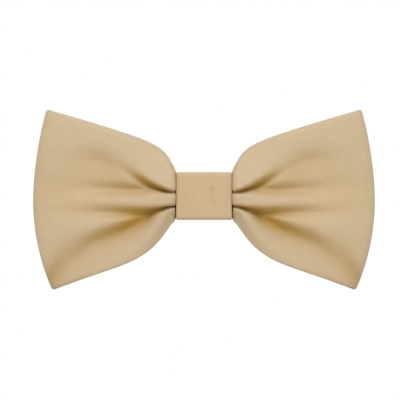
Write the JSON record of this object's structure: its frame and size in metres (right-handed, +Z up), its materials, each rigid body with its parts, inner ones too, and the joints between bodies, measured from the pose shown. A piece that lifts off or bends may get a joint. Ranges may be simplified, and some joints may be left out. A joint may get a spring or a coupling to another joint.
{
  "type": "pre-tied gift bow",
  "caption": "Pre-tied satin bow with two puffed, pleated wings, a flat centre band and a sprung steel clip behind the waist.",
  "frame": {"origin": "middle of the clip's flat back face, level with the middle of the centre band", "axes": "+X along the wings, to the right as seen from the front; +Y backwards out of the clip's back face; +Z up"},
  "size_m": [0.12, 0.0242, 0.0632],
  "materials": {
    "wing_satin": "champagne gold satin, low sheen",
    "band_satin": "champagne gold satin with a faint upright grain",
    "interlining": "off-white non-woven stiffener, matte",
    "thread": "twisted polyester thread, matching gold",
    "clip_steel": "nickel plated stamped sheet steel",
    "spring_wire": "bright drawn spring wire"
  },
  "bodies": {
    "bow": {"bow_loop": "wing_satin", "loop_interlining": "interlining", "loop_seam_thread": "thread", "loop_end_tacks": "thread", "gather_thread": "thread", "centre_band": "band_satin", "band_interlining": "interlining", "band_stitches": "thread", "clip_base": "clip_steel", "clip_pin": "clip_steel", "clip_spring": "spring_wire"},
    "lever": {"clip_lever": "clip_steel"}
  },
  "joints": [
    {"name": "clip_hinge", "type": "hinge", "parent": "bow", "child": "lever", "pos_m": [-0.0145, -0.0025, 0], "axis": [0, 0, 1], "range_deg": [0, 30], "stiffness_Nm_per_rad": 0.1, "springref_deg": -20.05, "deforming": ["clip_spring"]}
  ]
}
